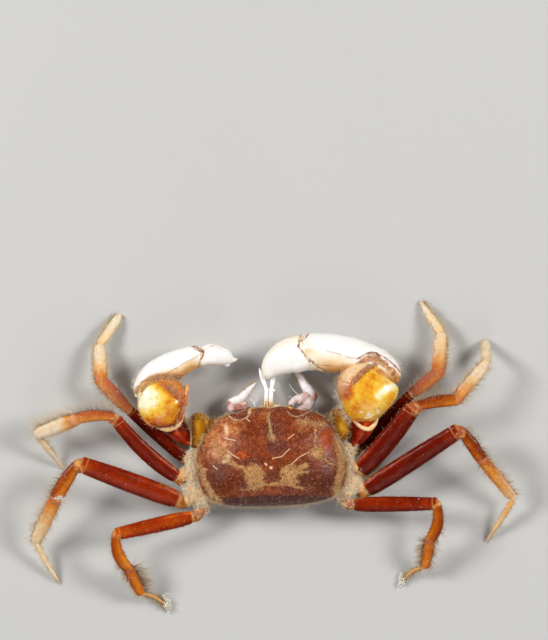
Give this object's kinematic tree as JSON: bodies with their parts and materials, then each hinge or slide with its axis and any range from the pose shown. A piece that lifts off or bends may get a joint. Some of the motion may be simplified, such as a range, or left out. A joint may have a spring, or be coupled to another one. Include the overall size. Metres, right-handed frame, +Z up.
{
  "type": "crab",
  "caption": "Small burrowing crab at life size, with unequal porcelain-white claws, a brown felted carapace and slender red-brown legs spread wide, resting on its belly.",
  "frame": {"origin": "middle of the flat underside of the folded tail, at the level of the floor the crab rests on", "axes": "+Z up, +Y the way the crab faces, +X towards its right-hand, larger claw; the body itself is turned 2.3 degrees to the left of +Y, as in the picture"},
  "size_m": [0.0458, 0.0298, 0.0062],
  "materials": {
    "carapace": "satin shell with felt patches",
    "sternum": "satin shell",
    "tail": "satin shell",
    "eye": "gloss",
    "mouthpart": "translucent satin",
    "leg_base": "felted",
    "leg_merus": "gloss shell",
    "leg_carpus": "satin shell",
    "leg_propodus": "satin shell with fine hairs",
    "leg_dactylus": "felted",
    "cheliped_merus": "gloss shell",
    "cheliped_carpus": "gloss shell",
    "claw": "porcelain gloss"
  },
  "bodies": {
    "root": {"antennule_left": "mouthpart", "antennule_right": "mouthpart", "carapace": "carapace", "cheliped_left_carpus": "cheliped_carpus", "cheliped_left_dactylus": "claw", "cheliped_left_ischium": "cheliped_merus", "cheliped_left_merus": "cheliped_merus", "cheliped_left_palm": "claw", "cheliped_right_carpus": "cheliped_carpus", "cheliped_right_dactylus": "claw", "cheliped_right_ischium": "cheliped_merus", "cheliped_right_merus": "cheliped_merus", "cheliped_right_palm": "claw", "eye_left": "eye", "eye_right": "eye", "leg_left_1_base": "leg_base", "leg_left_1_carpus": "leg_carpus", "leg_left_1_dactylus": "leg_dactylus", "leg_left_1_merus": "leg_merus", "leg_left_1_propodus": "leg_propodus", "leg_left_2_base": "leg_base", "leg_left_2_carpus": "leg_carpus", "leg_left_2_dactylus": "leg_dactylus", "leg_left_2_merus": "leg_merus", "leg_left_2_propodus": "leg_propodus", "leg_left_3_base": "leg_base", "leg_left_3_carpus": "leg_carpus", "leg_left_3_dactylus": "leg_dactylus", "leg_left_3_merus": "leg_merus", "leg_left_3_propodus": "leg_propodus", "leg_left_4_base": "leg_base", "leg_left_4_carpus": "leg_carpus", "leg_left_4_dactylus": "leg_dactylus", "leg_left_4_merus": "leg_merus", "leg_left_4_propodus": "leg_propodus", "leg_right_1_base": "leg_base", "leg_right_1_carpus": "leg_carpus", "leg_right_1_dactylus": "leg_dactylus", "leg_right_1_merus": "leg_merus", "leg_right_1_propodus": "leg_propodus", "leg_right_2_base": "leg_base", "leg_right_2_carpus": "leg_carpus", "leg_right_2_dactylus": "leg_dactylus", "leg_right_2_merus": "leg_merus", "leg_right_2_propodus": "leg_propodus", "leg_right_3_base": "leg_base", "leg_right_3_carpus": "leg_carpus", "leg_right_3_dactylus": "leg_dactylus", "leg_right_3_merus": "leg_merus", "leg_right_3_propodus": "leg_propodus", "leg_right_4_base": "leg_base", "leg_right_4_carpus": "leg_carpus", "leg_right_4_dactylus": "leg_dactylus", "leg_right_4_merus": "leg_merus", "leg_right_4_propodus": "leg_propodus", "maxilliped_left": "mouthpart", "maxilliped_right": "mouthpart", "sternum": "sternum", "tail": "tail"}
  },
  "joints": []
}
